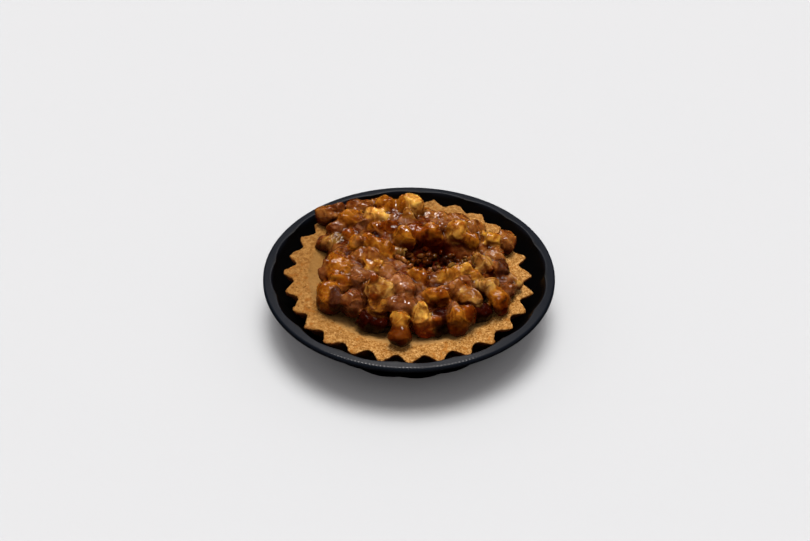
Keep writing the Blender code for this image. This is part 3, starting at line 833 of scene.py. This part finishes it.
def crust_height(x, y):
    """Height of the crust's upper side, from the dish out over the rim."""
    radius, angle = math.hypot(x, y), math.atan2(y, x)
    outline = [(0.0, DISH_FLOOR)] + [(r, z) for r, z, _ in reversed(crust_outline()[4:])]
    height = RIM_HEIGHT
    for (inner, low), (outer, high) in zip(outline, outline[1:]):
        if inner <= radius < outer:
            height = low + (high - low) * (radius - inner) / (outer - inner)
    return height + rim_rise(angle, radius, height)


def crust_rows():
    """The outline again with rows close together where it shows, as (radius, height, flute depth)."""
    outline = crust_outline()
    spacing = (0.6, 0.8, 0.16, 0.24, 0.27, 0.27, 0.30, 1.0)
    rows = [outline[0]]
    for start, end, step in zip(outline, outline[1:], spacing):
        count = max(2, round(math.hypot(end[0] - start[0], end[1] - start[1]) / step))
        for i in range(1, count + 1):
            share = i / count
            rows.append(tuple(a + (b - a) * share for a, b in zip(start, end)))
    return rows


def rounded(rows, first, last, steps):
    """The rows between two of them eased, so that the section has no corners there."""
    rows = np.array(rows)
    for _ in range(steps):
        middle = (rows[first - 1 : last - 1] + rows[first + 1 : last + 1]) / 2.0
        rows[first:last] += 0.5 * (middle - rows[first:last])
    return rows


def make_crust():
    rows = crust_rows()
    rim = next(i for i, row in enumerate(rows) if row[1] > RIM_HEIGHT - 0.9)
    rows = rounded(rows, rim, len(rows) - 3, 6)
    count = FLUTES * FLUTE_POINTS
    angles = [TIP_ANGLE + math.pi * (2 * i + 1) / count for i in range(count)]
    flutes = np.array([flute(angle) for angle in angles])
    wander = noise_at([around(angle, 4.0, 0.5) for angle in angles], 1.0, -1)
    bulge = np.array([bumps(angle, RIM_BULGES) for angle in angles])
    uneven = TOOTH_UNEVENNESS * wander + bulge
    rings = []
    for radius, height, depth in rows:
        here = radius + depth / 2.0 * flutes + uneven * depth / FLUTE_DEPTH
        rings.append(ring_of(angles, here, [height + rim_rise(a, r, height) for a, r in zip(angles, here)]))
    points, faces = loft_arrays(rings, (0.0, 0.0, CASE_WALL + GAP), (0.0, 0.0, DISH_FLOOR))
    out = np.hypot(points[:, 0], points[:, 1])
    rough = smooth_step(out, TIP_RADIUS - RIM_WIDTH - 1.0, TIP_RADIUS - RIM_WIDTH + 0.6)
    pressed = (1.0 - rough) * smooth_step(points[:, 2], DISH_FLOOR, DISH_FLOOR + 1.0)
    normals = normals_of(points, faces)
    bumpy = layered(points, CRUST_LUMPS)
    bumpy += layered(points, TIP_LUMPS) * smooth_step(out, TIP_RADIUS - 2.6, TIP_RADIUS)
    bumpy -= PIT_DEPTH * smooth_step(noise_at(points, 0.95, 3), 0.42, 0.62)
    points = points + normals * (bumpy * (DISH_RELIEF + (1.0 - DISH_RELIEF) * rough))[:, None]
    points[:, 2] = np.maximum(points[:, 2], CASE_WALL + GAP / 2.0)
    # Painted shade down its flanks, toasting along its outer edge, and painted shade towards the back and
    # left
    flank_shade = 1.0 - smooth_step(normals[:, 2] + 0.25 * noise_at(points, 2.0, 5), 0.05, 0.60)
    edge = smooth_step(out + 0.8 * noise_at(points, 3.0, 4), TIP_RADIUS - 1.4, TIP_RADIUS + 0.6)
    toast_and_flank_shade = np.maximum(flank_shade, 0.45 * edge) * rough
    backward = 0.55 * points[:, 1] + 0.50 * np.maximum(points[:, 1], 0.0)
    back_left_shade = (backward - points[:, 0]) / TIP_RADIUS + 0.30 * noise_at(points, 12.0, 8)
    layers = {"pressed": pressed, "toast_and_flank_shade": toast_and_flank_shade, "back_left_shade": smooth_step(back_left_shade, -0.4, 1.0)}
    add_piece("fluted_crust", points, faces, crust_finish(), "crust", layers)


def crust_under(points):
    """The height of the crust's upper side under each point."""
    return np.array([crust_height(x, y) for x, y in points[:, :2].tolist()])


def core_radius(angle):
    return CORE_RADIUS + bumps(angle, SPILLS)


def core_height(x, y):
    """A little above the middles of the nuts nearby, with an oval hollow and a steep edge."""
    total = weights = 0.0
    for nut in NUTS:
        weight = math.exp(-((nut[0] - x) ** 2 + (nut[1] - y) ** 2) / (2.0 * CORE_REACH**2)) + 1e-9
        total += weight * nut[2]
        weights += weight
    away = ((x - HOLLOW_MIDDLE[0]) / HOLLOW_SIZE[0]) ** 2 + ((y - HOLLOW_MIDDLE[1]) / HOLLOW_SIZE[1]) ** 2
    crown = total / weights + CORE_RISE - HOLLOW_DEPTH * math.exp(-(away**2))
    outward = math.hypot(x, y) / core_radius(math.atan2(y, x))
    return CORE_EDGE + (crown - CORE_EDGE) * (1.0 - outward**CORE_STEEPNESS)


def core_arrays():
    """The lump of caramel that the nuts sit in."""
    angles = turns(CORE_SEGMENTS)
    foot = [around(angle, DISH_RADIUS - 0.5, 0.0) for angle in angles]
    rings = [[(x, y, crust_height(x, y) + CRUST_CLEARANCE) for x, y, _ in foot]]
    for step in range(CORE_RINGS, 0, -1):
        places = [around(angle, core_radius(angle) * step / CORE_RINGS, 0.0) for angle in angles]
        heights = [max(core_height(x, y), crust_height(x, y) + CRUST_CLEARANCE) for x, y, _ in places]
        rings.append([(x, y, z) for (x, y, _), z in zip(places, heights)])
    underside = (0.0, 0.0, DISH_FLOOR + CRUST_CLEARANCE)
    return loft_arrays(rings, underside, (0.0, 0.0, core_height(0.0, 0.0)))


def ball_arrays():
    """A ball of radius one about the origin."""
    rows = []
    for row in range(1, BALL_RINGS):
        tilt = math.pi * row / BALL_RINGS - math.pi / 2.0
        rows.append([around(turn, math.cos(tilt), math.sin(tilt)) for turn in turns(BALL_SEGMENTS)])
    return loft_arrays(rows, (0.0, 0.0, -1.0), (0.0, 0.0, 1.0))


def random_direction(draw, lowest):
    """A direction that rises at least this steeply."""
    rise = draw.uniform(lowest, 1.0)
    return around(draw.uniform(0.0, 2.0 * math.pi), math.sqrt(1.0 - rise * rise), rise)


def chipped(ball, draw, chips):
    """The ball with a few flat faces broken off it."""
    for _ in range(chips):
        flat = np.array(random_direction(draw, -0.7))
        over = np.maximum(ball @ flat - draw.uniform(*CHIP_LEVELS), 0.0)
        ball = ball - CHIP_SHARE * over[:, None] * flat
    return ball


def above_crust(points):
    """The points lifted where they would sink into the crust, and held under the heap's top."""
    points[:, 2] = np.maximum(points[:, 2], crust_under(points) + CRUST_CLEARANCE)
    ease = HEAP_TOP - TOP_EASE
    over = np.maximum(points[:, 2] - ease, 0.0)
    points[:, 2] = np.where(over > 0.0, ease + TOP_EASE * np.tanh(over / TOP_EASE), points[:, 2])
    return points


def lobes_of(nuts, coat=NUT_COAT):
    """Every lobe of these nuts: its middle, its half sizes, how it is turned, and whose it is."""
    lobes = []
    for index, (x, y, z, width, depth, height, turn, form, _) in enumerate(nuts):
        half = np.array((width, depth, height)) / 2.0 + coat
        spin = np.array(Matrix.Rotation(math.radians(turn), 3, "Z"))
        for lobe in FORMS[form]:
            middle = spin @ (np.array(lobe[:3]) * half) + np.array((x, y, z))
            lobes.append((middle, np.array(lobe[3:]) * half, spin, index))
    return lobes


def lobe_arrays(lobe, draw, chips):
    middle, half, spin, _ = lobe
    ball, faces = ball_arrays()
    return (chipped(ball, draw, chips) * half) @ spin.T + middle, faces


def distances_out(points, lobes):
    """About how far each point stands outside each lobe, in a row for each lobe."""
    rows = np.empty((len(lobes), len(points)), np.float32)
    for row, (middle, half, spin, _) in enumerate(lobes):
        local = (points - middle) @ spin
        level = np.maximum(np.linalg.norm(local / half, axis=1), 1e-6)
        rows[row] = np.linalg.norm(local, axis=1) * (1.0 - 1.0 / level)
    return rows


def skin_of(points, faces):
    """The surface in a form that rays can be cast at."""
    return BVHTree.FromPolygons(points.tolist(), faces)


def lodged_bits(lobes, draw):
    """Small broken pieces in the gaps between the nuts, found by looking at the heap from all round."""
    skin = skin_of(*joined([lobe_arrays(lobe, draw, 0) for lobe in lobes]))
    bits = []
    for _ in range(BIT_TRIES):
        bearing = draw.uniform(0.0, 2.0 * math.pi)
        target = Vector(around(bearing, BIT_REACH * math.sqrt(draw.random()), BIT_AIM))
        away = Vector(random_direction(draw, 0.35))
        place, normal, _, _ = skin.ray_cast(target + BIT_LOOK * away, -away)
        size = draw.uniform(*BIT_SIZES)
        shape = [size * draw.uniform(0.8, 1.25) for _ in range(3)]
        turn, tone = draw.uniform(0.0, 180.0), draw.choice(BIT_TONES)
        if place is None or place.z < BIT_LOWEST:
            continue
        if any((place - Vector(bit[:3])).length < BIT_SPACING for bit in bits):
            continue
        away_from = distances_out(np.array([place]), lobes)[:, 0]
        owner = lobes[away_from.argmin()][3]
        other = min(float(far) for far, lobe in zip(away_from, lobes) if lobe[3] != owner)
        if other < BIT_GAP:
            bits.append((*(place - BIT_SINK * size * normal), *shape, turn, "round", tone))
    return tuple(bits)


def bent(points):
    """How far each point is pushed aside, so that no nut keeps a round outline."""
    return sum(reach * drift(points, size, seed) for size, reach, seed in BENDS)


def relief(points):
    """Lumps and winding folds of the nuts."""
    wound = points + FOLD_WINDING * drift(points, 5.0, 1)
    folds = 1.0 - smooth_step(np.abs(noise_at(wound, 3.4, 4)), 0.0, 0.14)
    return layered(points, NUT_LUMPS) + FOLD_HEIGHT * folds


def owners(points, lobes, nuts):
    """Each point's tone, film, speckle, place in its nut, and how far it is out from the nearest lobe."""
    away = distances_out(points, lobes)
    nearest = away.min(axis=0)
    weights = np.exp(-(away - nearest) / TONE_BLEND)
    weights /= weights.sum(axis=0)
    owning = [nuts[lobe[3]] for lobe in lobes]
    tones = [TONES[nut[8]] for nut in owning]
    mixed = weights.T @ np.array([(*paint(*colour)[:3], film, speckle) for colour, film, speckle in tones])
    middles, heights = np.array([(nut[2], nut[5]) for nut in owning]).T
    place = points[:, 2] * (weights.T @ (1.0 / heights)) - weights.T @ (middles / heights)
    return mixed[:, :3], mixed[:, 3], mixed[:, 4], place, nearest


def heap_layers(points, faces, owned, raised):
    """What the heap's finish reads at each point."""
    tone, film, speckle, place, nearest = owned
    normals = normals_of(points, faces)
    valley = np.einsum("ij,ij->i", smoothed(points, faces, VALLEY_STEPS) - points, normals)
    foot = 1.0 - smooth_step(points[:, 2] - crust_under(points), *FOOT_SHADE)
    return {
        "tone": np.hstack([tone, np.ones((len(points), 1))]),
        "milk": film,
        "speckle": speckle,
        # Painted shade on each nut's lower, downward-facing side and near the crust
        "low": np.maximum(1.0 - smooth_step(0.55 * normals[:, 2] + place, -0.30, 0.90), foot),
        "fill": smooth_step(nearest, 0.0, 0.55),
        # Painted shade deep in the clefts
        "deep": smooth_step(valley, -0.05, 0.65),
        "rise": smooth_step(raised, *RISE),
    }


def filleted(points, faces):
    """The skin with its clefts filled and its edges a little eased."""
    normals = normals_of(points, faces)
    moves = smoothed(points, faces, FILLET_STEPS) - points
    inward = np.einsum("ij,ij->i", moves, normals)[:, None] < 0.0
    return smoothed(points + np.where(inward, EDGE_SOFTNESS, 1.0) * moves, faces, 2)


def make_heap():
    draw = random.Random(HEAP_SEED)
    nuts = NUTS + BITS
    nuts += lodged_bits(lobes_of(nuts), draw)
    lobes = lobes_of(nuts)
    whole = [nut[7] in UNBROKEN for nut in nuts]
    parts = [core_arrays()] + [lobe_arrays(lobe, draw, 0 if whole[lobe[3]] else CHIPS) for lobe in lobes]
    points, faces = remeshed(*joined(parts), HEAP_VOXEL)
    points = filleted(points, faces)
    owned = owners(points, lobes, nuts)
    points = points + bent(points)
    raised = relief(points)
    points = points + normals_of(points, faces) * (raised * (1.0 - FILM_HIDES * owned[1]))[:, None]
    points = above_crust(smoothed(points, faces, 1))
    layers = heap_layers(points, faces, owned, raised)
    finish = nut_finish()
    add_piece("caramel_walnuts", points, faces, finish, "walnut_heap", layers)
    make_crumbs(skin_of(points, faces), draw, finish)


def make_crumbs(skin, draw, finish):
    """Broken crumbs lying in the hollow and down the slope in front of it."""
    crumbs = []
    for _ in range(CRUMBS):
        reach = math.sqrt(draw.random())
        angle = draw.uniform(0.0, 2.0 * math.pi)
        x = HOLLOW_MIDDLE[0] + CRUMB_SPREAD[0] * reach * math.cos(angle)
        y = HOLLOW_MIDDLE[1] + CRUMB_SPREAD[1] * reach * math.sin(angle) + CRUMB_SHIFT
        size = draw.uniform(*CRUMB_SIZES)
        shape = [size * draw.uniform(0.5, 1.4) for _ in range(3)]
        tone = draw.choice(CRUMB_TONES)
        place = skin.ray_cast(Vector((x, y, CRUMB_DROP)), Vector((0.0, 0.0, -1.0)))[0]
        if place.z < CRUMB_TOP:
            middle = (place.x, place.y, place.z + 0.2 * size)
            crumbs.append((*middle, *shape, draw.uniform(0.0, 180.0), "round", tone))
    lobes = lobes_of(crumbs, CRUMB_COAT)
    points, faces = joined([lobe_arrays(lobe, draw, CRUMB_CHIPS) for lobe in lobes])
    points = above_crust(points)
    layers = heap_layers(points, faces, owners(points, lobes, crumbs), relief(points))
    layers["fill"] = np.zeros(len(points))
    # The crumbs are painted darker the lower they lie, as painted shade
    layers["deep"] = 0.9 * (1.0 - smooth_step(points[:, 2], *CRUMB_SHADE))
    add_piece("walnut_crumbs", points, faces, finish, "walnut_heap", layers)


def make_camera():
    back = Vector((0.0, -math.cos(VIEW_ELEVATION), math.sin(VIEW_ELEVATION)))
    data = bpy.data.cameras.new("camera")
    data.lens = data.sensor_width * FOCAL_PIXELS / PHOTO_WIDTH
    data.shift_x, data.shift_y = MIDDLE_SHIFT / PHOTO_WIDTH
    data.clip_start = 0.01
    camera = placed("camera", data)
    camera.location = (VIEW_TARGET + back * VIEW_DISTANCE) * MM
    camera.rotation_euler = (math.pi / 2.0 - VIEW_ELEVATION, 0.0, 0.0)
    bpy.context.scene.camera = camera


FLOOR_HALF = 4.0
BACKDROP = (0.863, 0.839, 0.871)
LAMP_COLOUR = (1.0, 0.95, 0.92)
# Each sun: where it shines from, its strength and how wide it looks in degrees
SUNS = (
    ((0.13, 0.09, 0.98), 2.5, 29.0),
    ((-0.09, 0.09, 0.98), 2.4, 29.0),
    ((0.02, 0.28, 0.96), 1.6, 26.0),
    ((0.05, -0.45, 0.85), 0.7, 60.0),
)


def add_light(name, kind, direction, energy, **settings):
    data = bpy.data.lights.new(name, kind)
    data.energy = energy
    for key, value in settings.items():
        setattr(data, key, value)
    light = placed(name, data)
    light.rotation_euler = direction.to_track_quat("Z", "Y").to_euler()
    return light


def add_softbox(name, direction, distance, size, watts, target=(0.0, 0.0, 0.0)):
    """A lamp that only shows as a reflection, so that the floor stays even."""
    shape = {"shape": "RECTANGLE", "size": size[0], "size_y": size[1], "color": LAMP_COLOUR}
    lamp = add_light(name, "AREA", direction, watts, **shape)
    lamp.location = direction.normalized() * distance + Vector(target) * MM
    lamp.visible_diffuse = False


def make_light():
    world = bpy.data.worlds.new("studio")
    world.use_nodes = True
    world.node_tree.nodes["Background"].inputs["Color"].default_value = (*BACKDROP, 1.0)
    world.cycles_visibility.glossy = False
    bpy.context.scene.world = world
    bpy.context.scene.view_settings.view_transform = "Standard"
    for direction, strength, width in SUNS:
        sun = add_light("sun", "SUN", Vector(direction).normalized(), strength, angle=math.radians(width))
        sun.visible_glossy = False
    add_softbox("top_lamp", Vector((0.10, 0.30, 0.95)), 0.6, (0.12, 0.045), 1.0)
    add_softbox("back_lamp", Vector((-0.05, 0.60, 0.80)), 0.33, (0.12, 0.03), 0.16)
    front = (0.0, -FLANGE_RADIUS, CASE_HEIGHT)
    mirror = Vector((0.0, math.cos(VIEW_ELEVATION), math.sin(VIEW_ELEVATION)))
    add_softbox("rim_lamp", mirror, 0.25, (0.05, 0.05), 0.055, front)


def make_floor():
    half = FLOOR_HALF
    corners = [(-half, -half, 0.0), (half, -half, 0.0), (half, half, 0.0), (-half, half, 0.0)]
    mesh = mesh_from(corners, [(0, 1, 2, 3)], "floor")
    upright = sum(strength * Vector(direction).normalized().z for direction, strength, _ in SUNS)
    lit = 1.0 + upright / math.pi / BACKDROP[1]
    nodes = Nodes("floor_paper")
    nodes.set(base_color=rgb(1.0 / lit, 1.0 / lit, 1.0 / lit), roughness=1.0, specular_ior_level=0.0)
    mesh.materials.append(nodes.material)
    floor = placed("floor", mesh)
    floor.visible_glossy = False


make_camera()
make_light()
make_floor()
make_case()
make_crust()
make_heap()
